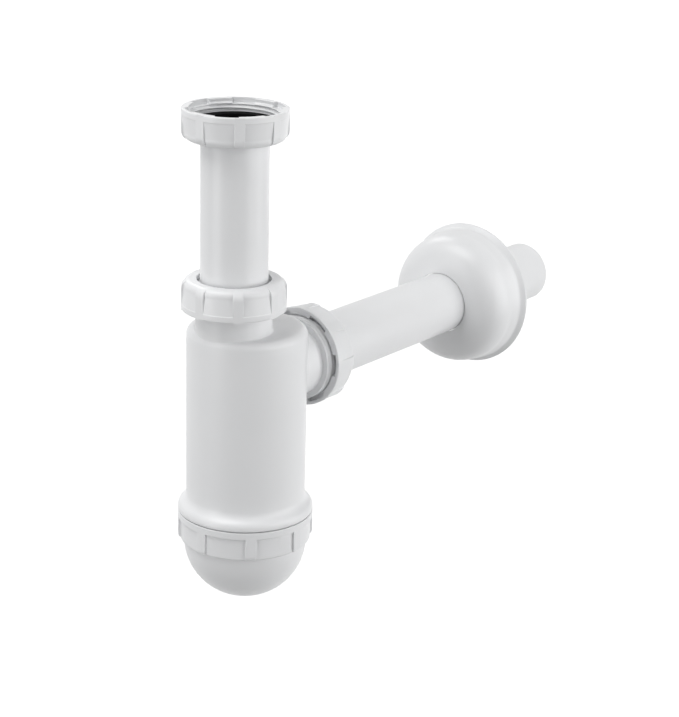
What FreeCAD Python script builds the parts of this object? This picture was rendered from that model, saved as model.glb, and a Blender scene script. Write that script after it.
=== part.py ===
import FreeCAD
import Part
import math
import os

# Plastic bottle trap for a wash basin, in millimetres.
# The origin is the centre of the top face of the inlet washer, where the basin waste lands.
# Z points up along the inlet pipe, and Y points along the outlet pipe towards the wall.

# Pipes
pipe_d = 32.0
pipe_wall = 1.8
pipe_edge = 0.5

# Inlet, from the top face of its washer down
inlet_drop = 100.3
inlet_dip = 11.8
washer_thickness = 3.2
washer_hole_play = 0.4
flange_thickness = 2.8

# Neck for the inlet pipe and spigot for the outlet pipe
socket_play = 0.4
neck_wall = 1.75
neck_plain = 10.2
neck_thread_shown = 0.8
spigot_wall = 1.65
spigot_plain = 7.1
spigot_thread_shown = 4.0
outlet_drop = 25.6
outlet_stop_reach = 1.1
outlet_stop_play = 2.0
outlet_way_play = 0.3

# Cone seal, the same soft plastic ring in two places, and its seat
seal_wall = 2.6
seal_tip_wall = 1.1
seal_cone = 6.0
seal_head_gap = 0.8
seal_play = 0.08
seat_play = 0.3

# Union thread of one and a quarter inches, drawn as plain walls, which comes to 41.9 across
thread_wall = 2.175
thread_play = 0.25
thread_edge = 0.4
thread_end_gap = 0.2

# Union nut, the same moulding in three places
nut_length = 14.6
nut_end_wall = 2.4
nut_side_wall = 2.6
nut_hole_play = 1.55
nut_pocket_step = 1.0
nut_pocket_play = 0.5
nut_flange_play = 0.7
nut_end_rounding = 4.0
nut_collar = 2.9
nut_edge = 0.4
rib_count = 8
rib_width = 4.6
rib_proud = 1.0
recess_count = 6
recess_arc = 29.0
recess_depth = 2.4
recess_reach = 1.9

# Trap body
body_d = 57.8
body_wall = 2.2
body_top_wall = 2.4
body_height = 92.7
body_shoulder = 3.8
inlet_side_gap = 0.9
skirt_corner_height = 2.9
skirt_root_height = 6.1
skirt_corner_rounding = 4.0
skirt_root_rounding = 6.6

# Cup
seam_gap = 0.5
cup_thread_wall = 2.65
cup_thread_play = 0.3
cup_side_wall = 2.2
cup_collar = 3.5
cup_ring_height = 14.7
cup_rib_width = 4.9
cup_rib_rounding = 2.2
cup_panel_rounding = 1.0
cup_dome_step = 2.85
cup_dome_wall = 2.2
cup_ledge_wall = 1.9
gasket_thickness = 2.0
gasket_width = 2.1

# Wall rosette
wall_distance = 187.6
outlet_tail = 55.6
rosette_d = 76.8
rosette_wall = 1.8
rosette_depth = 27.0
rosette_play = 0.3
rosette_lip_edge = 0.2
rosette_side_step = 3.1
rosette_side_height = 10.3
rosette_neck_step = 2.1
rosette_neck_height = 3.4
rosette_rim = 1.0

# Share of the way to its corner at which the dome's curve has its two inner poles
dome_fullness = 0.66

# Small gap between faces that rest on each other and move apart
face_gap = 0.2

# Most of a side that the roundings at its two ends may use up
rounding_share = 0.98

# Radii of the pipes and of what goes round them
pipe_r = pipe_d / 2
pipe_bore_r = pipe_r - pipe_wall
washer_hole_r = pipe_bore_r + washer_hole_play
socket_r = pipe_r + socket_play
neck_r = socket_r + neck_wall
spigot_r = socket_r + spigot_wall
outlet_way_r = pipe_bore_r + outlet_way_play

# Depths inside a union nut
nut_depth = nut_length - nut_end_wall
nut_pocket_depth = flange_thickness + washer_thickness + face_gap
nut_thread = nut_depth - nut_pocket_depth
thread_engaged = nut_thread - thread_end_gap
seal_stand = nut_depth - thread_engaged
seal_head = seal_stand - face_gap - seal_head_gap

# Radii of the cone seal, of its seat, and of the thread outside the seat
seal_cone_r = pipe_r + seal_wall
seal_tip_r = pipe_r + seal_tip_wall
seat_taper = (seal_cone_r - seal_tip_r) / seal_cone
seat_depth = seal_cone + face_gap
seat_mouth_r = seal_cone_r + seat_play - seat_taper * (seal_head_gap - seat_play)
thread_r = seat_mouth_r + thread_wall

# Radii of a union nut and of what lies in its pocket
nut_bore_r = thread_r + thread_play
nut_pocket_r = nut_bore_r - nut_pocket_step
nut_hole_r = pipe_r + nut_hole_play
panel_r = nut_bore_r + nut_side_wall
rib_r = panel_r + rib_proud
recess_r = nut_bore_r + recess_reach
seal_head_r = nut_pocket_r - nut_pocket_play
washer_r = nut_pocket_r - nut_pocket_play
flange_r = nut_pocket_r - nut_flange_play

# Radii of the body and of the cup
body_r = body_d / 2
chamber_r = body_r - body_wall
cup_thread_r = chamber_r + cup_thread_wall
cup_bore_r = cup_thread_r + cup_thread_play
cup_panel_r = cup_bore_r + cup_side_wall
cup_ring_r = cup_panel_r + rib_proud
dome_r = cup_ring_r - cup_dome_step
dome_bore_r = dome_r - cup_dome_wall
inlet_offset = chamber_r - pipe_r - inlet_side_gap

# Heights along the inlet
flange_top = -washer_thickness
nut_floor = flange_top - flange_thickness - face_gap
inlet_nut_mouth = nut_floor + nut_depth
body_top = -inlet_drop
seam = body_top - body_height
inlet_pipe_length = flange_top - seam + inlet_dip
neck_shoulder = body_top + neck_plain
neck_nut_mouth = neck_shoulder + neck_thread_shown
neck_mouth = neck_nut_mouth + thread_engaged

# Places along the outlet, from the body's axis
outlet_z = body_top - outlet_drop
spigot_shoulder_at = body_r + spigot_plain
outlet_nut_mouth_at = spigot_shoulder_at + spigot_thread_shown
spigot_mouth_at = outlet_nut_mouth_at + thread_engaged
outlet_stop_at = body_r + outlet_stop_reach
outlet_pipe_at = outlet_stop_at + outlet_stop_play
outlet_pipe_length = wall_distance + outlet_tail - outlet_pipe_at

# Heights in the cup, and the end of the body's thread above the gasket
cup_top = seam - seam_gap
cup_ring_bottom = cup_top - cup_ring_height
cup_ledge = cup_ring_bottom + cup_ledge_wall
gasket_low = cup_ledge + face_gap / 2
cup_thread_end = gasket_low + gasket_thickness + face_gap

# Radii of the rosette
rosette_r = rosette_d / 2
rosette_lip_r = pipe_r + rosette_play + rosette_lip_edge
rosette_side_r = rosette_r - rosette_side_step
rosette_neck_r = rosette_r - rosette_neck_step

# Directions
x_axis = FreeCAD.Vector(1, 0, 0)
z_axis = FreeCAD.Vector(0, 0, 1)
centre = FreeCAD.Vector(0, 0, 0)
quarter_turn = 90
half_turn = 180
full_turn = 360


def section_point(radius, height):
    """A point of a turned section, at a radius from the Z axis and a height."""
    return FreeCAD.Vector(radius, 0, height)


def side_share(corner, rounding, neighbour, neighbour_rounding):
    """Length of one side that a rounding may use, shared with the rounding at its other end."""
    share = rounding / (rounding + neighbour_rounding)
    return (neighbour - corner).Length * share * rounding_share


def round_corner(before, corner, after, radius, longest_reach):
    """Start, middle and end of the arc that rounds a corner, limited by the sides it has."""
    back = (before - corner).normalize()
    ahead = (after - corner).normalize()
    half_opening = back.getAngle(ahead) / 2
    reach = min(radius / math.tan(half_opening), longest_reach)
    fitted_radius = reach * math.tan(half_opening)
    middle_line = (back + ahead).normalize()
    arc_centre = corner + middle_line * (fitted_radius / math.sin(half_opening))
    start = corner + back * reach
    middle = arc_centre - middle_line * fitted_radius
    end = corner + ahead * reach
    return start, middle, end


def section_edges(corners):
    """Edges of a closed section: straight lines, with an arc at each corner that has a radius."""
    points = [section_point(radius, height) for radius, height, rounding in corners]
    roundings = [rounding for radius, height, rounding in corners]
    stretches = []
    for index, corner in enumerate(points):
        rounding = roundings[index]
        if rounding > 0:
            following = (index + 1) % len(points)
            before = points[index - 1]
            after = points[following]
            reach_before = side_share(corner, rounding, before, roundings[index - 1])
            reach_after = side_share(corner, rounding, after, roundings[following])
            longest_reach = min(reach_before, reach_after)
            stretches.append(round_corner(before, corner, after, rounding, longest_reach))
        else:
            stretches.append((corner, corner, corner))
    edges = []
    for index, (start, middle, end) in enumerate(stretches):
        previous_end = stretches[index - 1][2]
        edges.append(Part.LineSegment(previous_end, start).toShape())
        if roundings[index] > 0:
            edges.append(Part.Arc(start, middle, end).toShape())
    return edges


def turn_edges(edges):
    """A solid of revolution about the Z axis from the edges of a closed section."""
    face = Part.Face(Part.Wire(edges))
    return face.revolve(centre, z_axis, full_turn)


def turned(corners):
    """A solid of revolution about the Z axis from corners of radius, height and rounding."""
    return turn_edges(section_edges(corners))


def rod(radius, low, high):
    """A round bar on the Z axis."""
    return Part.makeCylinder(radius, high - low, section_point(0, low))


def cone(low_radius, high_radius, low, high):
    """A tapered bar on the Z axis."""
    return Part.makeCone(low_radius, high_radius, high - low, section_point(0, low))


def slab(width, reach, low, high):
    """A flat bar through the Z axis, as long each way as the reach."""
    corner = FreeCAD.Vector(-reach, -width / 2, low)
    return Part.makeBox(2 * reach, width, high - low, corner)


def rib_bars(count, width, reach, low, high):
    """Bars through the Z axis that leave an even ring of ribs, two to a bar."""
    bars = slab(width, reach, low, high)
    for index in range(1, count // 2):
        bar = slab(width, reach, low, high)
        bar.rotate(centre, z_axis, index * full_turn / count)
        bars = bars.fuse(bar)
    return bars


def ribbed(plain, rib_blank, bars):
    """A turned solid with the ribs that bars leave of a larger turned solid."""
    return plain.fuse(rib_blank.common(bars))


def sector(inner_radius, outer_radius, arc, middle_angle, low, high):
    """A piece of a ring, centred on an angle about the Z axis."""
    ring = Part.makeCylinder(outer_radius, high - low, section_point(0, low), z_axis, arc)
    ring.rotate(centre, z_axis, middle_angle - arc / 2)
    return ring.cut(rod(inner_radius, low, high))


def along_outlet(shape, distance):
    """Turn a solid's own Z axis to run back from the wall, and put it on the outlet's axis."""
    placed = shape.copy()
    placed.rotate(centre, x_axis, quarter_turn)
    placed.translate(FreeCAD.Vector(0, inlet_offset + distance, outlet_z))
    return placed


def mouth_down(shape, height):
    """Turn a solid upside down and put its own zero plane at a height of the inlet's axis."""
    placed = shape.copy()
    placed.rotate(centre, x_axis, half_turn)
    placed.translate(FreeCAD.Vector(0, 0, height))
    return placed


def on_body_axis(shape):
    """Move a solid from the inlet's axis to the body's axis."""
    placed = shape.copy()
    placed.translate(FreeCAD.Vector(0, inlet_offset, 0))
    return placed


def pipe(length, flange):
    """A pipe that hangs down from height zero, with or without a flange at its top."""
    head_r = flange_r if flange else pipe_r
    corners = [
        (pipe_bore_r, 0, 0),
        (pipe_bore_r, -length, pipe_edge),
        (pipe_r, -length, pipe_edge),
        (pipe_r, -flange_thickness, 0),
        (head_r, -flange_thickness, pipe_edge),
        (head_r, 0, pipe_edge),
    ]
    if not flange:
        corners = corners[:3] + [(pipe_r, 0, pipe_edge)]
    return turned(corners)


def nut_bore():
    """What a union nut takes away: the thread's bore, the seal's pocket and the pipe's hole."""
    bore = rod(nut_bore_r, -nut_thread, nut_edge)
    lead_in = cone(nut_bore_r, nut_bore_r + thread_edge, -thread_edge, 0)
    pocket = rod(nut_pocket_r, -nut_depth, -nut_thread)
    hole = rod(nut_hole_r, -nut_length - nut_edge, -nut_depth)
    return bore.fuse(lead_in).fuse(pocket).fuse(hole)


def union_nut():
    """Nut with its mouth at height zero, facing up, and a pierced end wall at the bottom."""
    plain = turned([
        (0, -nut_length, 0),
        (panel_r, -nut_length, nut_end_rounding - rib_proud),
        (panel_r, -nut_collar, 0),
        (rib_r, -nut_collar, nut_edge),
        (rib_r, 0, nut_edge),
        (0, 0, 0),
    ])
    rib_blank = turned([
        (0, -nut_length, 0),
        (rib_r, -nut_length, nut_end_rounding),
        (rib_r, -nut_collar / 2, 0),
        (0, -nut_collar / 2, 0),
    ])
    bars = rib_bars(rib_count, rib_width, rib_r, -nut_length, -nut_collar / 2)
    nut = ribbed(plain, rib_blank, bars).cut(nut_bore())
    for index in range(recess_count):
        angle = index * full_turn / recess_count
        recess = sector(pipe_r, recess_r, recess_arc, angle, -recess_depth, nut_edge)
        nut = nut.cut(recess)
    return nut.removeSplitter()


def cone_seal():
    """Soft ring with its flat head at height zero, tapering upwards to its tip."""
    inner_r = pipe_r + seal_play
    return turned([
        (inner_r, 0, 0),
        (seal_head_r, 0, nut_edge),
        (seal_head_r, seal_head, nut_edge),
        (seal_cone_r, seal_head, 0),
        (seal_tip_r, seal_head + seal_cone, 0),
        (inner_r, seal_head + seal_cone, 0),
    ])


def seal_in_nut():
    """The cone seal on the floor of a nut whose mouth is at height zero."""
    placed = cone_seal()
    placed.translate(FreeCAD.Vector(0, 0, -nut_depth + face_gap))
    return placed


def seat_cutter(mouth, depth):
    """What a socket takes away below its mouth: the pipe's bore and the seal's tapered seat."""
    low_r = seat_mouth_r - seat_taper * seat_depth
    bore = rod(socket_r, mouth - depth, mouth)
    seat = cone(low_r, seat_mouth_r, mouth - seat_depth, mouth)
    return bore.fuse(seat)


def body_outside():
    """Outer form of the trap body about its own axis."""
    return turned([
        (0, cup_thread_end, 0),
        (cup_thread_r, cup_thread_end, nut_edge),
        (cup_thread_r, seam, 0),
        (cup_ring_r, seam, nut_edge),
        (cup_ring_r, seam + skirt_corner_height, skirt_corner_rounding),
        (body_r, seam + skirt_root_height, skirt_root_rounding),
        (body_r, body_top, body_shoulder),
        (0, body_top, 0),
    ])


def chamber():
    """Water space of the trap body about its own axis, open at the bottom."""
    return turned([
        (0, cup_thread_end, 0),
        (chamber_r, cup_thread_end, 0),
        (chamber_r, body_top - body_top_wall, body_shoulder - body_wall),
        (0, body_top - body_top_wall, 0),
    ])


def neck():
    """Neck round the inlet pipe, with its thread."""
    plain = rod(neck_r, body_top - body_top_wall, neck_mouth)
    thread = turned([
        (pipe_r, neck_shoulder, 0),
        (thread_r, neck_shoulder, nut_edge),
        (thread_r, neck_mouth, nut_edge),
        (pipe_r, neck_mouth, 0),
    ])
    return plain.fuse(thread)


def spigot():
    """Spigot round the outlet pipe, with its thread, from the body's axis to the spigot's mouth."""
    plain = rod(spigot_r, -spigot_mouth_at, 0)
    thread = turned([
        (pipe_r, -spigot_mouth_at, 0),
        (thread_r, -spigot_mouth_at, nut_edge),
        (thread_r, -spigot_shoulder_at, nut_edge),
        (pipe_r, -spigot_shoulder_at, 0),
    ])
    return along_outlet(plain.fuse(thread), 0)


def trap_body():
    """The body, neck and spigot, moulded in one piece."""
    solid = on_body_axis(body_outside())
    solid = solid.fuse(neck())
    solid = solid.fuse(spigot())
    solid = solid.cut(on_body_axis(chamber()))
    neck_height = neck_mouth - body_top
    neck_way = seat_cutter(neck_mouth, neck_height + body_shoulder + body_wall)
    solid = solid.cut(neck_way)
    outlet_socket = mouth_down(seat_cutter(0, spigot_mouth_at - outlet_stop_at), 0)
    solid = solid.cut(along_outlet(outlet_socket, spigot_mouth_at))
    outlet_way = rod(outlet_way_r, -outlet_stop_at, 0)
    solid = solid.cut(along_outlet(outlet_way, 0))
    return solid.removeSplitter()


def inlet_nut():
    """Nut that joins the trap to the basin waste, mouth up."""
    nut = union_nut()
    nut.translate(FreeCAD.Vector(0, 0, inlet_nut_mouth))
    return nut


def inlet_washer():
    """Flat rubber washer on the flange of the inlet pipe."""
    return rod(washer_r, -washer_thickness, 0).cut(rod(washer_hole_r, -washer_thickness, 0))


def inlet_pipe():
    """Flanged pipe that hangs in the inlet nut and dips into the body."""
    placed = pipe(inlet_pipe_length, True)
    placed.translate(FreeCAD.Vector(0, 0, flange_top))
    return placed


def outlet_pipe():
    """Plain pipe from the spigot to the waste pipe in the wall."""
    return along_outlet(pipe(outlet_pipe_length, False), outlet_pipe_at)


def cup_hollow():
    """What the cup takes away: the thread's bore down to the ledge, and the round sump."""
    bore = rod(cup_bore_r, cup_ledge, cup_top + nut_edge)
    lead_in = cone(cup_bore_r, cup_bore_r + thread_edge, cup_top - thread_edge, cup_top)
    throat = rod(dome_bore_r, cup_ring_bottom, cup_ledge)
    ball = Part.makeSphere(dome_bore_r, section_point(0, cup_ring_bottom))
    return bore.fuse(lead_in).fuse(throat).fuse(ball)


def cup():
    """Screwed cup at the bottom: a ribbed ring and a round sump in one piece."""
    ring = turned([
        (0, cup_ring_bottom, 0),
        (cup_panel_r, cup_ring_bottom, cup_panel_rounding),
        (cup_panel_r, cup_top - cup_collar, 0),
        (cup_ring_r, cup_top - cup_collar, nut_edge),
        (cup_ring_r, cup_top, nut_edge),
        (0, cup_top, 0),
    ])
    rib_top = cup_top - cup_collar / 2
    rib_blank = turned([
        (0, cup_ring_bottom, 0),
        (cup_ring_r, cup_ring_bottom, cup_rib_rounding),
        (cup_ring_r, rib_top, 0),
        (0, rib_top, 0),
    ])
    bars = rib_bars(rib_count, cup_rib_width, cup_ring_r, cup_ring_bottom, rib_top)
    ball = Part.makeSphere(dome_r, section_point(0, cup_ring_bottom))
    bowl_top = cup_ring_bottom + cup_ledge_wall / 2
    bowl = ball.common(rod(dome_r, cup_ring_bottom - dome_r, bowl_top))
    solid = ribbed(ring, rib_blank, bars).fuse(bowl)
    solid = solid.cut(cup_hollow())
    return on_body_axis(solid.removeSplitter())


def cup_gasket():
    """Flat rubber ring on the ledge inside the cup."""
    high = gasket_low + gasket_thickness
    hole = rod(cup_thread_r - gasket_width, gasket_low, high)
    return on_body_axis(rod(cup_thread_r, gasket_low, high).cut(hole))


def dome_section(wall):
    """Half section of the rosette's dome, taken in by a wall, from its axis to the wall plane."""
    side_r = rosette_side_r - wall
    top = rosette_depth - wall
    shoulder = section_point(side_r, top)
    lip = section_point(rosette_lip_r, top)
    side = section_point(side_r, rosette_side_height)
    lip_pole = lip + (shoulder - lip) * dome_fullness
    side_pole = side + (shoulder - side) * dome_fullness
    curve = Part.BezierCurve()
    curve.setPoles([lip, lip_pole, side_pole, side])
    neck_point = section_point(rosette_neck_r - wall, rosette_neck_height)
    rim_front = section_point(rosette_r - wall, rosette_rim)
    rim_back = section_point(rosette_r - wall, 0)
    corners = [side, neck_point, rim_front, rim_back, section_point(0, 0), section_point(0, top), lip]
    edges = [curve.toShape()]
    for first, second in zip(corners, corners[1:]):
        edges.append(Part.LineSegment(first, second).toShape())
    return edges


def wall_rosette():
    """Domed cover on the outlet pipe, flat against the wall."""
    shell = turn_edges(dome_section(0)).cut(turn_edges(dome_section(rosette_wall)))
    hole_r = pipe_r + rosette_play
    shell = shell.cut(rod(hole_r, 0, rosette_depth))
    return along_outlet(shell, wall_distance)


nut_on_neck = mouth_down(union_nut(), neck_nut_mouth)
seal_on_neck = mouth_down(seal_in_nut(), neck_nut_mouth)
nut_on_spigot = along_outlet(union_nut(), outlet_nut_mouth_at)
seal_on_spigot = along_outlet(seal_in_nut(), outlet_nut_mouth_at)

parts = {
    "inlet_nut": inlet_nut(),
    "inlet_washer": inlet_washer(),
    "inlet_pipe": inlet_pipe(),
    "inlet_compression_nut": nut_on_neck,
    "inlet_cone_seal": seal_on_neck,
    "trap_body": trap_body(),
    "cup_gasket": cup_gasket(),
    "cup": cup(),
    "outlet_compression_nut": nut_on_spigot,
    "outlet_cone_seal": seal_on_spigot,
    "outlet_pipe": outlet_pipe(),
    "wall_rosette": wall_rosette(),
}

os.makedirs("parts", exist_ok=True)
for name, shape in parts.items():
    shape.exportStep("parts/" + name + ".step")
    box = shape.BoundBox
    print(name, shape.isValid(), len(shape.Solids), round(shape.Volume), box)
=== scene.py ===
import math

import bpy
import numpy as np
from mathutils import Matrix, Vector


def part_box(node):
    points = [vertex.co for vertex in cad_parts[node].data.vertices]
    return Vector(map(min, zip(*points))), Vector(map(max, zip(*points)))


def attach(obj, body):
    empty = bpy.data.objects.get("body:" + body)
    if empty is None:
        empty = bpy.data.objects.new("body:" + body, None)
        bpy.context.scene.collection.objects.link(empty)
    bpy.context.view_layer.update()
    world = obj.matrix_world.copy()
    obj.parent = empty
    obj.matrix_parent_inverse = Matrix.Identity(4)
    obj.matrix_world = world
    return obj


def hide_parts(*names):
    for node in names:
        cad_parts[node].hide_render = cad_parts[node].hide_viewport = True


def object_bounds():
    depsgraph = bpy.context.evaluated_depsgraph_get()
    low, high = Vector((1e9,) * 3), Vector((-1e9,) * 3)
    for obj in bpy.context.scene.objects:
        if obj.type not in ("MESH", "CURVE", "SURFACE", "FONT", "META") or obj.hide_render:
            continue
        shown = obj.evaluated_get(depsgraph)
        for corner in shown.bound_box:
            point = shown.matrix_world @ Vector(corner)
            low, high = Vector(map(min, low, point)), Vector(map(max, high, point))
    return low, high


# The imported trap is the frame, in metres. Z is up along the inlet pipe, and Y runs along the outlet
# pipe to the wall. The box round its solids is the size that the finished trap keeps.
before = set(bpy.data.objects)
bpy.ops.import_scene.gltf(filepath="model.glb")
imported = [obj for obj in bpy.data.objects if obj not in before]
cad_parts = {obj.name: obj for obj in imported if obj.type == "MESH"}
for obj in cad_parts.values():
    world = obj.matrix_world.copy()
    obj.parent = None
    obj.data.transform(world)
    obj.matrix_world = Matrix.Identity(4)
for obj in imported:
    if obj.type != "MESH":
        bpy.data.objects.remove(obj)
cad_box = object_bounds()

# White plastic of the whole trap. Every white piece is moulded or extruded from polypropylene,
# with a soft gloss, a hardly visible cloudiness in the colour and a very fine grain.
mm = 0.001
white = (1, 1, 1, 1)
plastic_clear = (0.815, 0.820, 0.828, 1)
plastic_cloudy = (0.775, 0.782, 0.792, 1)
plastic_cloud = 30 * mm
plastic_patch = 20 * mm
plastic_grain = 0.7 * mm
plastic_grain_depth = 0.004 * mm
gloss_spread = 0.05


class Wire:
    """An output socket in a node tree. Sums and products of wires and numbers add Math nodes."""

    def __init__(self, graph, socket):
        self.graph = graph
        self.socket = socket

    def maths(self, operation, first, second):
        """A Math node of an operation on two wires or numbers."""
        return self.graph.node("ShaderNodeMath", {"operation": operation}, {0: first, 1: second})

    def __add__(self, other):
        return self.maths("ADD", self, other)

    def __radd__(self, other):
        return self.maths("ADD", other, self)

    def __mul__(self, other):
        return self.maths("MULTIPLY", self, other)

    def __rmul__(self, other):
        return self.maths("MULTIPLY", other, self)

    def larger(self, other):
        """The larger of this and another wire."""
        return self.maths("MAXIMUM", self, other)


class Graph:
    """A node tree whose nodes all come from one method."""

    def __init__(self, tree):
        self.tree = tree

    def feed(self, socket, value):
        """Links a wire to a socket, or sets the socket to a value."""
        if isinstance(value, Wire):
            self.tree.links.new(value.socket, socket)
        else:
            socket.default_value = value

    def node(self, kind, settings, values, output=0):
        """A node of any type: its settings first, then the values or wires of its sockets."""
        made = self.tree.nodes.new(kind)
        for name, value in settings.items():
            setattr(made, name, value)
        for socket, value in values.items():
            self.feed(made.inputs[socket], value)
        return Wire(self, made.outputs[output])


class Finish(Graph):
    """A material with one Principled shader. Values that are fixed sit on the shader's own sockets."""

    def __init__(self, name, fixed):
        self.material = bpy.data.materials.new(name)
        self.material.use_nodes = True
        super().__init__(self.material.node_tree)
        self.shader = self.tree.nodes["Principled BSDF"]
        for socket, value in fixed.items():
            self.feed(self.shader.inputs[socket], value)

    def shade(self, **values):
        """Feeds the shader's varying sockets, named with a line for each space."""
        for name, value in values.items():
            self.feed(self.shader.inputs[name.replace("_", " ")], value)

    def noise(self, size, detail=2.0):
        """Noise on the piece's own coordinates, with lumps of about a size in metres."""
        place = self.node("ShaderNodeTexCoord", {}, {}, output="Object")
        values = {"Vector": place, "Scale": 1 / size, "Detail": detail}
        return self.node("ShaderNodeTexNoise", {}, values)

    def mix(self, amount, first, second):
        """A colour between two colours."""
        values = {0: amount, 6: first, 7: second}
        return self.node("ShaderNodeMix", {"data_type": "RGBA"}, values, output=2)

    def bump(self, height, depth):
        """A normal from a height between 0 and 1, over a depth in metres."""
        return self.node("ShaderNodeBump", {}, {"Distance": depth, "Height": height})


def white_plastic(name, roughness):
    """White polypropylene: cloudy colour, gloss in slow patches about a roughness, a faint grain."""
    finish = Finish(name, {"IOR": 1.49})
    clouds = finish.noise(plastic_cloud)
    patches = finish.noise(plastic_patch, detail=1.0)
    grain = finish.noise(plastic_grain)
    finish.shade(
        Base_Color=finish.mix(clouds, plastic_clear, plastic_cloudy),
        Roughness=patches * gloss_spread + (roughness - gloss_spread / 2),
        Normal=finish.bump(grain, plastic_grain_depth),
    )
    return finish.material


moulded_plastic = white_plastic("moulded_plastic", 0.33)

# Union nuts. Three of the same white moulding: one takes the basin waste, and two press a cone seal
# round a pipe. Eight ribs run down from a collar at the mouth, and six recesses widen the mouth.
# Between the ribs the side leans in from the collar to a straight, deeper stretch near the end.
inlet_nut_low, inlet_nut_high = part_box("inlet_nut")
nut_r = inlet_nut_high.x
nut_length = inlet_nut_high.z - inlet_nut_low.z
nut_panel_r = nut_r - 1.0 * mm
nut_panel_top_r = nut_r - 0.15 * mm
nut_straight = 3.9 * mm
nut_collar = 2.9 * mm
nut_hole_r = 17.55 * mm
nut_end_wall = 2.4 * mm
nut_pocket_r = 20.2 * mm
nut_pocket_top = 6.0 * mm
nut_mouth_r = 21.3 * mm
nut_mouth_depth = 1.5 * mm
nut_lead_in = 1.3 * mm
nut_rim_rounding = 0.5 * mm
nut_side_rounding = 3.0 * mm
nut_rib_rounding = 4.0 * mm
nut_rib_width = 4.7 * mm
nut_recess_step = 1.8 * mm
nut_recess_extra = 0.9 * mm
nut_recess_arc = math.radians(28.75)
nut_step_spacing = 0.5 * mm
nut_thread_spacing = 0.18 * mm
nut_edge_reach = 0.009
edge_angles = 9
rib_count = 8
recess_count = 6
rib_flank = 0.15 * mm
rib_end_rounding = 0.45
recess_flank = math.radians(0.8)
draft = 0.1 * mm

# The thread that the nuts share with the neck and the spigot: one and a quarter inches, rounded.
# The same wave is cut into both, on two middle radii, so that nut and thread keep clear.
thread_pitch = 2.309 * mm
thread_half_depth = 0.625 * mm
inner_thread_r = 20.525 * mm
outer_thread_r = 20.325 * mm
thread_fullness = 0.96

# How finely a rounded corner is drawn, and the bend from which an edge is seen as sharp.
arc_turn = 0.3
arc_reach = 1.5 * mm
sharp_bend = math.radians(35)


def section(corners, closed=True):
    """Points of a turned section in order, as rows of radius and height.

    A corner is radius, height, rounding and the spacing of the points on the side after it. An arc
    of radius q in a corner that opens by the angle w starts q / tan(w / 2) along both sides, about
    a centre q / sin(w / 2) up the middle line, and its points turn evenly from one side to the next.
    An open section has no side from its last corner to its first.
    """
    corners = np.array(corners, float)
    place = corners[:, :2]
    rounding = corners[:, 2]
    back = np.roll(place, 1, 0) - place
    back /= np.linalg.norm(back, axis=1, keepdims=True)
    ahead = -np.roll(back, -1, 0)
    half = np.arccos(np.clip((back * ahead).sum(1), -1, 1)) / 2
    start = place + back * (rounding / np.tan(half))[:, None]
    end = place + ahead * (rounding / np.tan(half))[:, None]
    middle = (back + ahead) / (2 * np.cos(half))[:, None]
    centre = place + middle * (rounding / np.sin(half))[:, None]
    runs = []
    for index, corner in enumerate(corners):
        following = (index + 1) % len(corners)
        if corner[2] > 0:
            first = math.atan2(*(start[index] - centre[index])[::-1])
            last = math.atan2(*(end[index] - centre[index])[::-1])
            turn = (last - first + math.pi) % math.tau - math.pi
            steps = math.ceil(abs(turn) / min(arc_turn, arc_reach / corner[2]))
            angle = first + turn * np.arange(steps + 1) / steps
            runs.append(centre[index] + corner[2] * np.stack([np.cos(angle), np.sin(angle)], -1))
        else:
            runs.append(place[index:index + 1])
        if closed or following > index:
            side = start[following] - end[index]
            steps = math.ceil(np.linalg.norm(side) / corner[3])
            runs.append(end[index] + side * (np.arange(1, steps) / steps)[:, None])
    return np.concatenate(runs)


def round_angles(marks=(), reach=0.02, fine=24, coarse=256):
    """Angles of a full turn in radians: even ones, and a close group about each mark.

    The even ones are turn * i / coarse. Of two that lie closer than the reach / fine, one stays.
    """
    even = np.arange(coarse) * math.tau / coarse
    near = np.add.outer(np.array(marks, float), np.linspace(-reach, reach, fine)).ravel()
    angles = np.sort(np.concatenate([even, near % math.tau]))
    return angles[np.append(np.diff(angles) > reach / fine, True)]


def turned(points, angles):
    """Places of a section turned about Z: x = r cos a, y = r sin a, and z is the height.

    The points have a row for each place round the section, and may have a column for each angle.
    """
    if points.ndim == 2:
        points = np.repeat(points[:, None], len(angles), axis=1)
    radius = points[..., 0]
    return np.stack([radius * np.cos(angles), radius * np.sin(angles), points[..., 1]], -1)


def ring_shell(grid):
    """Closed skin of a grid of places that joins on round both ways, as places and quads."""
    rows, columns = grid.shape[:2]
    here = np.arange(rows * columns).reshape(rows, columns)
    below = np.roll(here, -1, 0)
    quads = np.stack([here, np.roll(here, -1, 1), np.roll(below, -1, 1), below], -1)
    return grid.reshape(-1, 3), quads.reshape(-1, 4)


def capped_shell(grid):
    """Closed skin of a turned grid whose first and last rows each lie in one place on the axis."""
    places, quads = ring_shell(grid)
    rows, columns = grid.shape[:2]
    quads = quads.reshape(rows, columns, 4)[:-1].reshape(-1, 4)
    last_row = (rows - 1) * columns
    quads[quads < columns] = 0
    quads[quads >= last_row] = last_row
    return places, quads


def outward(places, quads):
    """The quads, all turned over if the volume, a sixth of the sum of a . (b x c), is negative."""
    a, b, c, d = np.moveaxis(places[quads], 1, 0)
    volume = (a * (np.cross(b, c) + np.cross(c, d))).sum()
    return quads if volume > 0 else quads[:, ::-1]


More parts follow.
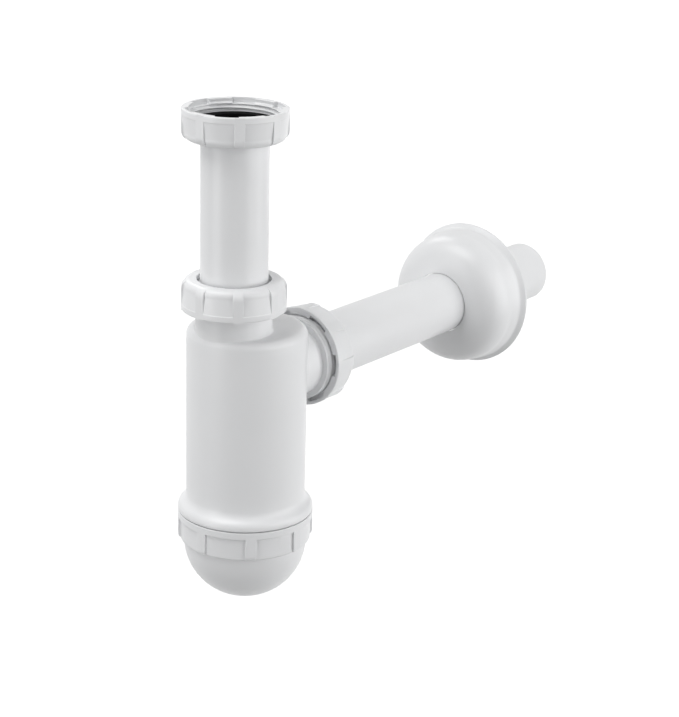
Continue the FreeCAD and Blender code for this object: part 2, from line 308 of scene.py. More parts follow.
def new_piece(name, shells, material):
    """Object of one mesh from closed skins, smooth but for its sharp edges.

    A quad with two corners in one place, at a pole, becomes a triangle, and places that no face
    uses are left out.
    """
    places = np.concatenate([shell[0] for shell in shells])
    starts = np.cumsum([0] + [len(shell[0]) for shell in shells[:-1]])
    quads = np.concatenate([outward(*shell) + start for shell, start in zip(shells, starts)])
    used, numbers = np.unique(quads, return_inverse=True)
    faces = numbers.reshape(-1, 4)
    doubled = faces == np.roll(faces, -1, 1)
    at_pole = doubled.any(1)
    triangles = faces[at_pole][~doubled[at_pole]].reshape(-1, 3)
    mesh = bpy.data.meshes.new(name)
    mesh.from_pydata(places[used], [], faces[~at_pole].tolist() + triangles.tolist())
    mesh.validate()
    mesh.shade_smooth()
    mesh.set_sharp_from_angle(angle=sharp_bend)
    mesh.materials.append(material)
    made = bpy.data.objects.new(name, mesh)
    bpy.context.scene.collection.objects.link(made)
    return made


def with_rib(plain, bottom, top, panel, rib, inner_r):
    """The section where a rib stands on the panel. Panel and rib are each radius and rounding.

    Between the bottom and the top the wall moves out to the rib's radius. The lower rounding grows
    about its centre to the rib's rounding, and the floor inside it stretches to meet it.
    """
    radius, height = plain.T
    panel_centre = np.array([panel[0] - panel[1], bottom + panel[1]])
    rib_centre = np.array([rib[0] - rib[1], bottom + rib[1]])
    drop = np.interp(height, [panel_centre[1], top], [rib_centre[1] - panel_centre[1], 0])
    wall = np.stack([np.full_like(radius, rib[0]), height + drop], -1)
    corner = rib_centre + (plain - panel_centre) * rib[1] / panel[1]
    stretch = np.interp(radius, [inner_r, panel_centre[0]], [0, rib_centre[0] - panel_centre[0]])
    floor = np.stack([radius + stretch, height], -1)
    on_wall = (radius > panel[0] - draft / 2) & (height > panel_centre[1])
    in_corner = (radius > panel_centre[0]) & (height <= panel_centre[1])
    return np.where(on_wall[:, None], wall, np.where(in_corner[:, None], corner, floor))


def near_middles(angles, count):
    """How far each angle is from the nearest of a count of even middles, the first on +X."""
    share = math.tau / count
    return np.abs((angles + share / 2) % share - share / 2)


def rib_share(points, angles, top, end_r, radius, width):
    """How much of a rib stands at each point and angle, from 0 to 1.

    A rib is a bar laid on the wall, with both lower corners rounded. Across is the angle from its
    middle times the radius, and down is the length of the section below the top. The distance to
    the bar's edge is that to a rounded corner, and the share t falls over the flank from 1 to 0 as
    t t (3 - 2 t).
    """
    step = np.linalg.norm(np.diff(points, axis=0), axis=1)
    down = np.concatenate([[0], np.cumsum(step)])
    down -= down[np.argmax(points[:, 1] < top)]
    end = down[np.argmax((points[:, 1] < top) & (points[:, 0] < end_r))]
    rounding = rib_end_rounding * width
    across = near_middles(angles, rib_count)[None] * radius - (width / 2 - rounding)
    below = down[:, None] - (end - rounding)
    outside = np.hypot(np.maximum(across, 0), np.maximum(below, 0))
    edge = outside + np.minimum(np.maximum(across, below), 0) - rounding
    share = np.clip(0.5 - edge / rib_flank, 0, 1)
    return share * share * (3 - 2 * share)


def thread_wave(height, angles, pitch):
    """Wave of a right-hand thread, 1 on its crests and -1 in its grooves.

    The phase is 2 pi height / pitch less the angle, so that a crest climbs one pitch in a turn. The
    arc sine of nearly the whole sine gives straight flanks with rounded crests and grooves.
    """
    phase = math.tau * height / pitch - angles
    return np.arcsin(thread_fullness * np.sin(phase)) / math.asin(thread_fullness)


def cut_thread(points, rows, angles, middle_r, half_depth, pitch, choose=np.minimum):
    """Cuts a thread into some rows of a turned section, in place.

    The radius becomes the smaller of its own and the thread's, or the larger in a nut's bore. The
    thread's is the middle radius plus the half depth times the wave.
    """
    thread = middle_r + half_depth * thread_wave(points[..., 1], angles, pitch)
    points[..., 0] = np.where(rows[:, None], choose(points[..., 0], thread), points[..., 0])


def union_nut():
    """Places of a nut with its mouth at height zero, facing up.

    The section is turned with a share of the ribbed section where the ribs stand, a share of the
    widened and deepened mouth in the recesses, and in the bore the larger of its own radius and the
    thread's. Its corners go from the rim down the side, and back up through the bore.
    """
    step = nut_step_spacing
    fine = nut_thread_spacing
    lead_in_low = -nut_mouth_depth - nut_lead_in
    crest_r = inner_thread_r - thread_half_depth
    plain = section([
        (nut_r, 0, nut_rim_rounding, 0.8 * mm),
        (nut_r, draft - nut_collar, 0.25 * mm, step),
        (nut_panel_top_r, -draft - nut_collar, 0.2 * mm, 0.7 * mm),
        (nut_panel_r, nut_straight - nut_length, mm, step),
        (nut_panel_r, -nut_length, nut_side_rounding, 0.8 * mm),
        (nut_hole_r, -nut_length, 0.4 * mm, mm),
        (nut_hole_r, nut_end_wall - nut_length, 0.3 * mm, mm),
        (nut_pocket_r, nut_end_wall - nut_length, 0.5 * mm, 2 * mm),
        (nut_pocket_r, -nut_pocket_top, 0.1 * mm, mm),
        (crest_r, -nut_pocket_top, 0, fine),
        (crest_r, lead_in_low, 0, fine),
        (nut_mouth_r, -nut_mouth_depth, 0.2 * mm, 0.4 * mm),
        (nut_mouth_r, 0, 0.3 * mm, 0.6 * mm),
    ])
    panel = (nut_panel_r, nut_side_rounding)
    rib = (nut_r, nut_rib_rounding)
    ribbed = with_rib(plain, -nut_length, -nut_collar, panel, rib, nut_hole_r)
    radius, height = plain.T
    face_r = nut_r - nut_rim_rounding
    face_share = np.clip((face_r - radius) / (face_r - nut_mouth_r), 0, 1)
    wider = nut_recess_step * np.clip((height - lead_in_low) / nut_lead_in, 0, 1) * face_share
    deeper = np.interp(height, [lead_in_low, -nut_mouth_depth, 0], [0, -nut_recess_extra, 0])
    recessed = plain + np.stack([wider, deeper * face_share], -1)

    rib_edge = nut_rib_width / 2 / nut_r
    rib_middles = np.arange(rib_count) * math.tau / rib_count
    recess_middles = np.arange(recess_count) * math.tau / recess_count
    marks = [rib_middles - rib_edge, rib_middles + rib_edge]
    marks += [recess_middles - nut_recess_arc / 2, recess_middles + nut_recess_arc / 2]
    angles = round_angles(np.concatenate(marks), nut_edge_reach, edge_angles)
    end_r = nut_panel_r - nut_side_rounding
    ribs = rib_share(plain, angles, -nut_collar, end_r, nut_r, nut_rib_width)
    recess_edge = near_middles(angles, recess_count) - nut_recess_arc / 2
    recesses = np.clip(0.5 - recess_edge / recess_flank, 0, 1)
    points = plain[:, None] + ribs[..., None] * (ribbed - plain)[:, None]
    points = points + recesses[None, :, None] * (recessed - plain)[:, None]
    bore = (radius < nut_mouth_r + 0.1 * mm) & (height > 0.01 * mm - nut_pocket_top)
    cut_thread(points, bore, angles, inner_thread_r, thread_half_depth, thread_pitch, np.maximum)
    return turned(points, angles)


def upside_down(grid, height):
    """Half a turn about X, with the zero plane then at a height: (x, -y, height - z)."""
    return grid * (1, -1, -1) + (0, 0, height)


outlet_z = (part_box("outlet_pipe")[0].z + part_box("outlet_pipe")[1].z) / 2


def on_outlet(grid, mouth_at):
    """A quarter turn about X onto the outlet's axis: (x, mouth_at - z, outlet_z + y)."""
    return np.stack([grid[..., 0], mouth_at - grid[..., 2], outlet_z + grid[..., 1]], -1)


nut_grid = union_nut()
neck_nut_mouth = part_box("inlet_compression_nut")[0].z
outlet_nut_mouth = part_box("outlet_compression_nut")[0].y
nut_places = {
    "inlet_nut": nut_grid + (0, 0, inlet_nut_high.z),
    "inlet_compression_nut": upside_down(nut_grid, neck_nut_mouth),
    "outlet_compression_nut": on_outlet(nut_grid, outlet_nut_mouth),
}
for nut_name, grid in nut_places.items():
    nut = new_piece(nut_name + "_looks", [ring_shell(grid)], moulded_plastic)
    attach(nut, nut_name)
    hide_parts(nut_name)

# Seals. A flat washer of matt black rubber lies on the flange of the inlet pipe, and a flat gasket of
# the same on the ledge of the cup. The cone seal in each compression nut is soft white polythene,
# and the nut presses it down round the pipe.
rubber_deep = (0.002, 0.002, 0.0025, 1)
rubber_dusty = (0.005, 0.005, 0.0055, 1)
rubber_dust = 6 * mm
rubber_grain = 0.3 * mm
rubber_grain_depth = 0.04 * mm
washer_low, washer_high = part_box("inlet_washer")
washer_hole_r = 14.6 * mm
seal_low, seal_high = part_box("inlet_cone_seal")
seal_bore_r = 16.08 * mm
seal_head_r = seal_high.x
seal_head = 5.4 * mm
seal_cone_r = 18.6 * mm
seal_tip_r = 17.1 * mm
gasket_low, gasket_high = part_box("cup_gasket")
gasket_width = 2.1 * mm
polythene_clear = (0.74, 0.745, 0.75, 1)
polythene_cloudy = (0.70, 0.71, 0.72, 1)
polythene_patch = 8 * mm
polythene_grain = 0.5 * mm
polythene_grain_depth = 0.006 * mm
flat_ring_edge = 0.35 * mm
cone_seal_edge = 0.3 * mm
body_axis_y = (gasket_low.y + gasket_high.y) / 2


def black_rubber():
    """Black rubber: dusty patches, an even matt surface and a fine pressed grain."""
    finish = Finish("black_rubber", {"IOR": 1.52, "Specular IOR Level": 0.05})
    dust = finish.noise(rubber_dust, detail=4.0)
    grain = finish.noise(rubber_grain)
    finish.shade(
        Base_Color=finish.mix(dust, rubber_deep, rubber_dusty),
        Roughness=dust * 0.2 + 0.7,
        Normal=finish.bump(grain, rubber_grain_depth),
    )
    return finish.material


def flat_ring(inner_r, outer_r, low, high):
    """Section of a flat ring with softened edges."""
    corners = [(outer_r, high), (outer_r, low), (inner_r, low), (inner_r, high)]
    return section([(radius, height, flat_ring_edge, mm) for radius, height in corners])


def cone_seal():
    """Section of a cone seal with its head at height zero and its tip up."""
    length = seal_high.z - seal_low.z
    corners = [
        (seal_bore_r, 0),
        (seal_head_r, 0),
        (seal_head_r, seal_head),
        (seal_cone_r, seal_head),
        (seal_tip_r, length),
        (seal_bore_r, length),
    ]
    return section([(radius, height, cone_seal_edge, mm) for radius, height in corners])


def polythene():
    """Soft white polythene: waxy, a little darker than the mouldings, with slow uneven patches."""
    finish = Finish("white_polythene", {"IOR": 1.51})
    patches = finish.noise(polythene_patch, detail=3.0)
    grain = finish.noise(polythene_grain)
    finish.shade(
        Base_Color=finish.mix(patches, polythene_clear, polythene_cloudy),
        Roughness=patches * 0.1 + 0.4,
        Normal=finish.bump(grain, polythene_grain_depth),
    )
    return finish.material


plain_turn = round_angles(coarse=180)
washer_section = flat_ring(washer_hole_r, washer_high.x, washer_low.z, washer_high.z)
gasket_section = flat_ring(
    gasket_high.x - gasket_width, gasket_high.x, gasket_low.z, gasket_high.z)
rubber = black_rubber()
rubber_rings = {
    "inlet_washer": ("inlet_pipe", turned(washer_section, plain_turn)),
    "cup_gasket": ("cup_gasket", turned(gasket_section, plain_turn) + (0, body_axis_y, 0)),
}
for ring_name, (body, grid) in rubber_rings.items():
    ring = new_piece(ring_name + "_looks", [ring_shell(grid)], rubber)
    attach(ring, body)
    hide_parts(ring_name)

seal_grid = turned(cone_seal(), plain_turn)
outlet_seal_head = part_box("outlet_cone_seal")[1].y
seal_plastic = polythene()
cone_seals = {
    "inlet_cone_seal": ("inlet_seal", upside_down(seal_grid, seal_high.z)),
    "outlet_cone_seal": ("outlet_seal", on_outlet(seal_grid, outlet_seal_head)),
}
for seal_name, (body, grid) in cone_seals.items():
    seal = new_piece(seal_name + "_looks", [ring_shell(grid)], seal_plastic)
    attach(seal, body)
    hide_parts(seal_name)

# Pipes. Two extruded pipes of 32 mm, of the same plastic but smoother than the mouldings. The inlet
# pipe has a flange that the upper nut holds, and dips into the cup. The outlet pipe is plain, sits
# in the spigot and runs on into the wall.
inlet_pipe_low, inlet_pipe_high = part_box("inlet_pipe")
outlet_pipe_low, outlet_pipe_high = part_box("outlet_pipe")
pipe_r = outlet_pipe_high.x
pipe_wall = 1.8 * mm
pipe_edge = 0.45 * mm
pipe_spacing = 6 * mm
flange_r = inlet_pipe_high.x
flange_thickness = 2.8 * mm
pipe_plastic = white_plastic("pipe_plastic", 0.31)


def pipe(top, length):
    """Section of a pipe that hangs from height zero. The top is its outer corners down to its wall."""
    bore_r = pipe_r - pipe_wall
    return section(top + [
        (pipe_r, -length, pipe_edge, mm),
        (bore_r, -length, pipe_edge, pipe_spacing),
        (bore_r, 0, pipe_edge, mm),
    ])


plain_top = [(pipe_r, 0, pipe_edge, pipe_spacing)]
flanged_top = [
    (flange_r, 0, pipe_edge, mm),
    (flange_r, -flange_thickness, pipe_edge, mm),
    (pipe_r, -flange_thickness, pipe_edge, pipe_spacing),
]
inlet_section = pipe(flanged_top, inlet_pipe_high.z - inlet_pipe_low.z)
outlet_section = pipe(plain_top, outlet_pipe_high.y - outlet_pipe_low.y)
pipe_places = {
    "inlet_pipe": turned(inlet_section, plain_turn) + (0, 0, inlet_pipe_high.z),
    "outlet_pipe": on_outlet(turned(outlet_section, plain_turn), outlet_pipe_low.y),
}
for pipe_name, grid in pipe_places.items():
    made_pipe = new_piece(pipe_name + "_looks", [ring_shell(grid)], pipe_plastic)
    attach(made_pipe, pipe_name)
    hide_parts(pipe_name)

# Trap body. One white moulding: a round shell with a soft shoulder, a skirt that hides the cup's
# thread, a neck for the inlet pipe and a spigot for the outlet pipe, both with the nuts' thread.
body_low, body_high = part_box("trap_body")
cup_low, cup_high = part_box("cup")
body_r = 28.9 * mm
chamber_r = 26.7 * mm
body_top = neck_nut_mouth - 11.0 * mm
chamber_top = body_top - 2.4 * mm
body_shoulder = 3.8 * mm
chamber_rounding = 1.6 * mm
seam = cup_high.z + 0.5 * mm
skirt_r = body_high.x
skirt_straight = 2.9 * mm
skirt_rounding = 3.4 * mm
skirt_fall = 6.1 * mm
skirt_hollow = 4.5 * mm
cup_thread_pitch = 3.0 * mm
cup_thread_half_depth = 0.5 * mm
male_cup_thread_r = 28.85 * mm
male_cup_crest_r = male_cup_thread_r + cup_thread_half_depth
cup_thread_below_seam = 1.2 * mm
thread_run_out = 0.45 * mm
neck_r = 18.15 * mm
neck_shoulder_gap = 0.8 * mm
spigot_r = 18.05 * mm
spigot_shoulder_gap = 4.0 * mm
socket_r = 16.4 * mm
outlet_way_r = 14.5 * mm
thread_engaged = 5.8 * mm
seat_mouth_r = 18.78 * mm
seat_low_r = 17.23 * mm
seat_depth = 6.2 * mm
junction_rounding = 0.8 * mm
neck_socket = 12.0 * mm
neck_root = 13.3 * mm
spigot_socket = 10.0 * mm
spigot_root = outlet_nut_mouth - body_axis_y - chamber_r
bead_rows = 9
bead_sink = 1.9


def body_shell():
    """Places of the shell, from the middle of its ceiling, round its rim and skirt to its top.

    The section is turned about the body's own axis, and the cup's thread is cut in below the seam.
    """
    points = section([
        (0, chamber_top, 0, 2 * mm),
        (chamber_r, chamber_top, chamber_rounding, 5 * mm),
        (chamber_r, body_low.z, 0.3 * mm, 0.5 * mm),
        (male_cup_crest_r, body_low.z, 0.3 * mm, 0.22 * mm),
        (male_cup_crest_r, seam, 0.15 * mm, 0.6 * mm),
        (skirt_r, seam, 0.35 * mm, 0.6 * mm),
        (skirt_r, seam + skirt_straight, skirt_rounding, 0.6 * mm),
        (body_r, seam + skirt_fall, skirt_hollow, 5 * mm),
        (body_r, body_top, body_shoulder, 2 * mm),
        (0, body_top, 0, mm),
    ], closed=False)
    angles = round_angles()
    radius, height = points.T
    threaded = (radius > chamber_r + mm) & (height < seam - cup_thread_below_seam)
    points = np.repeat(points[:, None], len(angles), axis=1)
    cut_thread(points, threaded, angles, male_cup_thread_r, cup_thread_half_depth, cup_thread_pitch)
    return turned(points, angles) + (0, body_axis_y, 0)


def threaded_end(plain_r, shoulder, root, way_r, socket_end):
    """Places of a neck or spigot in a nut's own frame, with the nut's mouth at height zero.

    Its mouth lies in the nut, its thread runs up to the shoulder, and its plain wall to the root.
    Inside it are the water's way, the socket of the pipe and the cone that the seal sits in.
    """
    mouth = -thread_engaged
    crest_r = outer_thread_r + thread_half_depth
    points = section([
        (crest_r, mouth, 0.5 * mm, 0.2 * mm),
        (crest_r, shoulder, 0.25 * mm, 0.5 * mm),
        (plain_r, shoulder, 0.3 * mm, 2 * mm),
        (plain_r, root, 0, mm),
        (way_r, root, 0, mm),
        (way_r, socket_end, 0.2 * mm, mm),
        (socket_r, socket_end + 0.1 * mm, 0, 2 * mm),
        (socket_r, mouth + seat_depth, 0.05 * mm, mm),
        (seat_low_r, mouth + seat_depth, 0.05 * mm, mm),
        (seat_mouth_r, mouth, 0.2 * mm, 0.5 * mm),
    ])
    angles = round_angles(coarse=200)
    radius, height = points.T
    threaded = (radius > plain_r + 0.5 * mm) & (height < shoulder - thread_run_out)
    points = np.repeat(points[:, None], len(angles), axis=1)
    cut_thread(points, threaded, angles, outer_thread_r, thread_half_depth, thread_pitch)
    return turned(points, angles)


def into_shell(grid):
    """A spigot's places, drawn on into the middle of the shell's wall.

    There y is the body's axis plus sqrt(r r - x x). From the end of the socket to the root, each
    place moves by its share of the way that the root has to go.
    """
    middle_r = (body_r + chamber_r) / 2
    on_wall = body_axis_y + np.sqrt(middle_r ** 2 - grid[..., 0] ** 2)
    root = outlet_nut_mouth - spigot_root
    socket_end = outlet_nut_mouth - spigot_socket
    share = np.clip((socket_end - grid[..., 1]) / (socket_end - root), 0, 1)
    return np.stack([grid[..., 0], grid[..., 1] + share * (on_wall - root), grid[..., 2]], -1)


def bead(centres, to_first, to_second, radius):
    """Closed bead that fills the hollow between two walls, one ball's width deep.

    A ball that touches both walls rolls round with its middle on the centres. The bead's face is
    the arc of the ball from one touch to the other, each point the centre plus the radius times
    an even mix of the two directions made unit length, and its back is sunk in the walls.
    """
    share = np.linspace(0, 1, bead_rows)[:, None, None]
    along = to_first + (to_second - to_first) * share
    face = centres + radius * along / np.linalg.norm(along, axis=-1, keepdims=True)
    back = centres + bead_sink * radius * (to_first + to_second) / np.sqrt(2)
    return np.concatenate([face, back[None]])


def neck_bead():
    """Bead between the neck and the body's top, which falls away on the rounded shoulder.

    Past the flat top, the ball's middle keeps one distance from the middle of the shoulder's arc.
    Its height over that arc's middle is the distance times sqrt(1 - p p), where p is how far it
    lies past the flat top, over the same distance.
    """
    angles = round_angles()
    out = np.stack([np.cos(angles), np.sin(angles), 0 * angles], -1)
    centres = out * (neck_r + junction_rounding)
    from_axis = centres - (0, body_axis_y, 0)
    distance = np.linalg.norm(from_axis, axis=-1)
    past = np.maximum(distance - (body_r - body_shoulder), 0) / (body_shoulder + junction_rounding)
    upright = np.sqrt(1 - past ** 2)
    centres[:, 2] = body_top - body_shoulder + (body_shoulder + junction_rounding) * upright
    down = -from_axis / distance[:, None] * past[:, None]
    down[:, 2] = -upright
    return bead(centres, -out, down, junction_rounding)


def spigot_bead():
    """Bead between the spigot and the side of the shell, where y is sqrt(r r - x x) once more."""
    angles = round_angles()
    out = np.stack([np.cos(angles), 0 * angles, np.sin(angles)], -1)
    centres = out * (spigot_r + junction_rounding)
    reach = body_r + junction_rounding
    centres[:, 1] = np.sqrt(reach ** 2 - centres[:, 0] ** 2)
    to_shell = -centres * (1, 1, 0) / reach
    return bead(centres + (0, body_axis_y, outlet_z), -out, to_shell, junction_rounding)


def cut_hole(target, radius, start, end):
    """Cuts a round hole between two places on its axis, and keeps the mesh that comes out."""
    start, end = Vector(start), Vector(end)
    turn = (end - start).to_track_quat("Z", "Y").to_matrix().to_4x4()
    half_length = (end - start).length / 2
    points = np.array([(0, -1), (1, -1), (1, 1), (0, 1)]) * (radius, half_length)
    cutter = new_piece("cutter", [capped_shell(turned(points, round_angles(coarse=192)))], None)
    cutter.matrix_world = Matrix.Translation((start + end) / 2) @ turn
    modifier = target.modifiers.new("hole", "BOOLEAN")
    modifier.operation = "DIFFERENCE"
    modifier.solver = "EXACT"
    modifier.object = cutter
    bpy.context.view_layer.update()
    made = target.evaluated_get(bpy.context.evaluated_depsgraph_get())
    whole = bpy.data.meshes.new_from_object(made)
    target.modifiers.remove(modifier)
    target.data = whole
    bpy.data.objects.remove(cutter)


shell_piece = new_piece("trap_body_looks", [capped_shell(body_shell())], moulded_plastic)
# Each hole starts inside the chamber and ends outside the shell.
inlet_hole = [(0, 0, body_top - 12 * mm), (0, 0, body_top + 5 * mm)]
outlet_hole = [(0, body_axis_y + 15 * mm, outlet_z), (0, body_axis_y + 35 * mm, outlet_z)]
cut_hole(shell_piece, socket_r, *inlet_hole)
cut_hole(shell_piece, outlet_way_r, *outlet_hole)
# The neck's way is a hair wider than the hole in the shell, so that no two walls share a surface.
neck_way_r = socket_r + 0.02 * mm
neck_grid = threaded_end(neck_r, neck_shoulder_gap, neck_root, neck_way_r, neck_socket)
spigot_grid = threaded_end(
    spigot_r, spigot_shoulder_gap, spigot_root, outlet_way_r, spigot_socket)
ends = new_piece("body_ends", [
    ring_shell(upside_down(neck_grid, neck_nut_mouth)),
    ring_shell(into_shell(on_outlet(spigot_grid, outlet_nut_mouth))),
    ring_shell(neck_bead()),
    ring_shell(spigot_bead()),
], moulded_plastic)
both = [shell_piece, ends]
with bpy.context.temp_override(active_object=shell_piece, selected_editable_objects=both):
    bpy.ops.object.join()
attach(shell_piece, "trap_body")
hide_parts("trap_body")

# Cup. One white moulding that screws up into the skirt: a ribbed ring for the hand, and a round
# sump that collects the dirt. Its ribs are those of the nuts, on a larger round.
cup_r = cup_high.x
cup_panel_r = cup_r - 1.0 * mm
cup_panel_rounding = 1.0 * mm
cup_rib_rounding = 2.2 * mm
cup_dome_r = 30.0 * mm
cup_dome_wall = 2.2 * mm
cup_ring_bottom = cup_low.z + cup_dome_r
cup_ledge = cup_ring_bottom + 1.9 * mm
cup_bore_r = 29.75 * mm
cup_collar = 3.5 * mm
cup_rib_width = 5.0 * mm
cup_edge_reach = 0.007
female_cup_thread_r = 29.2 * mm
cup_thread_above_ledge = 0.9 * mm
cup_thread_below_rim = 0.7 * mm


def cup_places():
    """Places of the cup, from the middle of its inside, over its rim and down its ribbed side.

    The section is turned about the body's axis with a share of the ribbed section where the ribs
    stand, and the cup's thread is cut into its bore.
    """
    inner_r = cup_dome_r - cup_dome_wall
    inner_low = cup_ring_bottom - inner_r
    collar_low = cup_high.z - cup_collar
    plain = section([
        (0, inner_low, 0, mm),
        (inner_r, inner_low, inner_r - 0.2 * mm, mm),
        (inner_r, cup_ledge, 0.3 * mm, 0.5 * mm),
        (cup_bore_r, cup_ledge, 0.2 * mm, 0.24 * mm),
        (cup_bore_r, cup_high.z, 0.4 * mm, 0.5 * mm),
        (cup_r, cup_high.z, 0.4 * mm, 0.5 * mm),
        (cup_r, collar_low + draft, 0.25 * mm, 0.5 * mm),
        (cup_panel_r, collar_low - draft, 0.3 * mm, 0.7 * mm),
        (cup_panel_r, cup_ring_bottom, cup_panel_rounding, 0.3 * mm),
        (cup_dome_r, cup_ring_bottom, 0.3 * mm, mm),
        (cup_dome_r, cup_low.z, cup_dome_r - 0.5 * mm, mm),
        (0, cup_low.z, 0, mm),
    ], closed=False)
    panel = (cup_panel_r, cup_panel_rounding)
    rib = (cup_r, cup_rib_rounding)
    outer = np.arange(len(plain)) > np.argmax(plain[:, 0])
    on_ring = outer & (plain[:, 1] > cup_ring_bottom - 0.01 * mm)
    ribbed = with_rib(plain, cup_ring_bottom, collar_low, panel, rib, cup_dome_r)
    ribbed = np.where(on_ring[:, None], ribbed, plain)
    rib_edge = cup_rib_width / 2 / cup_r
    middles = np.arange(rib_count) * math.tau / rib_count
    marks = np.concatenate([middles - rib_edge, middles + rib_edge])
    angles = round_angles(marks, cup_edge_reach, edge_angles)
    side = np.where(outer, plain[:, 1], cup_high.z)
    walk = np.stack([plain[:, 0], side], -1)
    end_r = cup_panel_r - cup_panel_rounding - draft
    ribs = rib_share(walk, angles, collar_low, end_r, cup_r, cup_rib_width)
    points = plain[:, None] + ribs[..., None] * (ribbed - plain)[:, None]
    height = plain[:, 1]
    bore = ~outer & (height > cup_ledge + cup_thread_above_ledge) & (plain[:, 0] > inner_r + mm)
    bore &= height < cup_high.z - cup_thread_below_rim
    cut_thread(points, bore, angles, female_cup_thread_r, cup_thread_half_depth, cup_thread_pitch)
    return turned(points, angles) + (0, body_axis_y, 0)


cup = new_piece("cup_looks", [capped_shell(cup_places())], moulded_plastic)
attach(cup, "cup")
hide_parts("cup")

# Wall rosette. A thin domed cover of the same white plastic, which slides on the outlet pipe and
# hides the hole in the wall. It has a lip round the pipe, a short straight side and a flared rim.
rosette_low, rosette_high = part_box("wall_rosette")
rosette_r = rosette_high.x
rosette_depth = rosette_high.y - rosette_low.y
rosette_wall = 1.8 * mm
rosette_hole_r = 16.3 * mm
rosette_side_r = rosette_r - 3.1 * mm
rosette_side = 10.3 * mm
rosette_neck_r = rosette_r - 2.1 * mm
rosette_neck = 3.4 * mm
rosette_rim = 1.0 * mm
rosette_lip = 0.2 * mm
flare_hollow = 0.35 * mm
dome_fullness = 0.66
dome_rows = 41
flare_rows = 5
side_rows = 6


def dome(wall):
    """Half section of the dome taken in by a wall, from the rim to the lip round the pipe.

    The dome is a cubic curve of four poles, from the side to the lip: the sum of the poles times
    (1 - t)^3, 3 (1 - t)^2 t, 3 (1 - t) t^2 and t^3. Its two inner poles lie on the way to the
    corner that the side and the lip have in common. The flare is a straight line taken in by
    4 t (1 - t) times its hollow.
    """
    lip = np.array([rosette_hole_r + rosette_lip, rosette_depth - wall])
    side = np.array([rosette_side_r - wall, rosette_side])
    corner = np.array([side[0], lip[1]])
    side_pole = side + (corner - side) * dome_fullness
    lip_pole = lip + (corner - lip) * dome_fullness
    t = np.linspace(0, 1, dome_rows)[:, None]
    curve = side * (1 - t) ** 3 + lip * t ** 3
    curve = curve + 3 * (1 - t) * t * (side_pole * (1 - t) + lip_pole * t)
    rim = [(rosette_r - wall, height) for height in (0, rosette_rim / 2, rosette_rim)]
    flare = np.linspace(0, 1, flare_rows)[1:, None]
    flare_from = np.array(rim[-1])
    flare_to = np.array([rosette_neck_r - wall, rosette_neck])
    flare_bend = np.array([flare_hollow, -flare_hollow]) * 4 * flare * (1 - flare)
    flared = flare_from + (flare_to - flare_from) * flare - flare_bend
    along = np.linspace(0, 1, side_rows)[1:-1, None]
    straight = flared[-1] + (curve[0] - flared[-1]) * along
    return np.concatenate([rim, flared, straight, curve])


hole_heights = (rosette_depth - rosette_lip, rosette_depth - rosette_wall)
hole_edge = np.array([(rosette_hole_r, height) for height in hole_heights])
rosette_section = np.concatenate([dome(0), hole_edge, dome(rosette_wall)[::-1]])
rosette_grid = on_outlet(turned(rosette_section, round_angles()), rosette_high.y)
rosette = new_piece("wall_rosette_looks", [ring_shell(rosette_grid)], moulded_plastic)
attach(rosette, "wall_rosette")
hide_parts("wall_rosette")

# Floor and light. The trap hangs above a plain pale floor in a dim pale room. Three tall softboxes
# stand before it and on its right, one hangs high on the left and gives the soft highlights, and
# two light it from behind.
floor_drop = 0.25
floor_half = 7.0
floor_near = 0.7
floor_far = 2.0
floor_colour = (0.38, 0.38, 0.38, 1)
floor_added_near = (0.78, 0.78, 0.78, 1)
black = (0, 0, 0, 1)
room_light = 0.17
camera_turn = math.radians(37.214)
trap_middle = (cad_box[0] + cad_box[1]) / 2


def seen(graph):
    """One for the rays that come from the camera, a gloss or a glass, and nought for the rest."""
    flags = ["Is Camera Ray", "Is Glossy Ray", "Is Transmission Ray"]
    camera, gloss, glass = [graph.node("ShaderNodeLightPath", {}, {}, flag) for flag in flags]
    return camera.larger(gloss.larger(glass))


def pale_floor():
    """Pale floor that is seen as white: the light on it, and what is added, more where it is far."""
    fixed = {"Base Color": floor_colour, "Roughness": 0.9, "Emission Strength": 1.0}
    finish = Finish("pale_floor", fixed)
    place = finish.node("ShaderNodeTexCoord", {}, {}, "Object")
    distance = finish.node("ShaderNodeVectorMath", {"operation": "LENGTH"}, {0: place}, "Value")
    reach = {"Value": distance, "From Min": floor_near, "From Max": floor_far}
    far = finish.node("ShaderNodeMapRange", {"interpolation_type": "SMOOTHSTEP"}, reach)
    added = finish.mix(far, floor_added_near, white)
    finish.shade(Emission_Color=finish.mix(seen(finish), black, added))
    return finish.material


floor_height = cad_box[0].z - floor_drop
floor_corners = [(-1, -1), (1, -1), (1, 1), (-1, 1)]
floor_places = [(floor_half * x, floor_half * y, floor_height) for x, y in floor_corners]
floor_mesh = bpy.data.meshes.new("floor")
floor_mesh.from_pydata(floor_places, [], [(0, 1, 2, 3)])
floor_mesh.materials.append(pale_floor())
floor = bpy.data.objects.new("floor", floor_mesh)
bpy.context.scene.collection.objects.link(floor)

world = bpy.data.worlds.new("pale_room")
bpy.context.scene.world = world
world.use_nodes = True
room = Graph(world.node_tree)
background = world.node_tree.nodes["Background"]
room.feed(background.inputs["Color"], white)
room.feed(background.inputs["Strength"], seen(room) * (1 - room_light) + room_light)


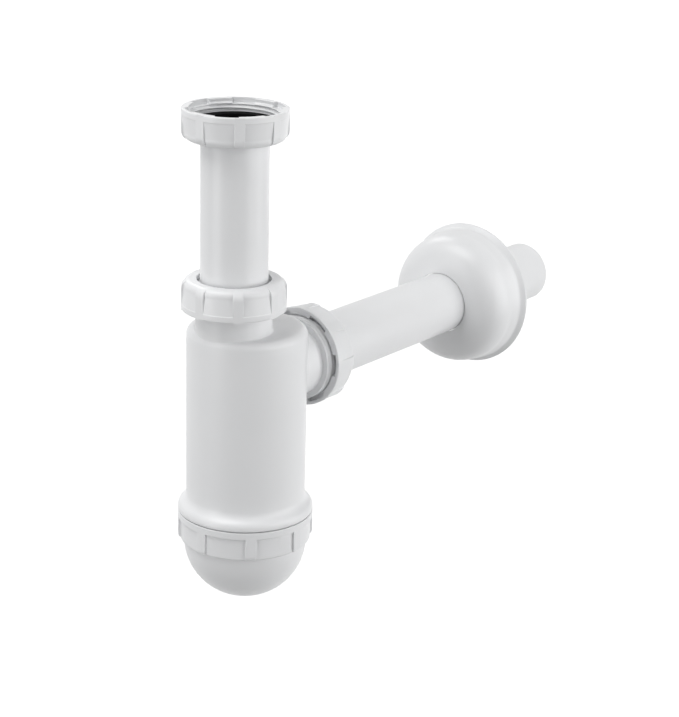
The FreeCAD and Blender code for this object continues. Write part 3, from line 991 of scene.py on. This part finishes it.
def softbox(name, turn, height, distance, width, tall, power):
    """A rectangular lamp aimed at the trap's middle, in metres and watts.

    Its turn in degrees is taken about the trap from the camera's side. It stands at the distance
    from the trap's middle, level with it, and is then raised by the height.
    """
    lamp = bpy.data.lights.new(name, "AREA")
    lamp.shape = "RECTANGLE"
    lamp.size = width
    lamp.size_y = tall
    lamp.energy = power
    made = bpy.data.objects.new(name, lamp)
    around = camera_turn + math.radians(turn)
    offset = Vector((math.sin(around), -math.cos(around), 0)) * distance
    made.location = trap_middle + offset + Vector((0, 0, height))
    aim = trap_middle - made.location
    made.rotation_euler = aim.to_track_quat("-Z", "Y").to_euler()
    bpy.context.scene.collection.objects.link(made)


# The name, turn, height, distance, width, tallness and power of each softbox.
softbox("left_front_softbox", -55, 0.12, 1.3, 0.6, 1.5, 7.2)
softbox("right_front_softbox", 55, 0.12, 1.3, 0.6, 1.5, 7.7)
softbox("right_softbox", 85, 0.12, 1.3, 0.6, 1.5, 8.3)
softbox("top_softbox", -60, 1.2, 0.7, 0.9, 0.9, 10.3)
softbox("left_back_softbox", -152, 0.95, 1.1, 0.5, 0.7, 3.4)
softbox("right_back_softbox", 150, 0.25, 1.6, 1.2, 1.8, 2.0)

# Camera, at the photograph's viewing angle. Its lens, its place and its three turns were solved
# from the outlines of the pipes, the body, the cup and the rosette in the photograph.
lens_length = 100.908
sensor_width = 36.0
camera_place = (0.5837, -0.6858, 0.1921)
camera_down = math.radians(18.748)
camera_roll = math.radians(1.485)
camera_data = bpy.data.cameras.new("camera")
camera_data.lens = lens_length
camera_data.sensor_width = sensor_width
camera = bpy.data.objects.new("camera", camera_data)
turn_z = Matrix.Rotation(camera_turn, 4, "Z")
turn_x = Matrix.Rotation(math.pi / 2 - camera_down, 4, "X")
roll = Matrix.Rotation(camera_roll, 4, "Z")
camera.matrix_world = Matrix.Translation(camera_place) @ turn_z @ turn_x @ roll
bpy.context.scene.collection.objects.link(camera)
bpy.context.scene.camera = camera
bpy.context.scene.view_settings.view_transform = "Standard"
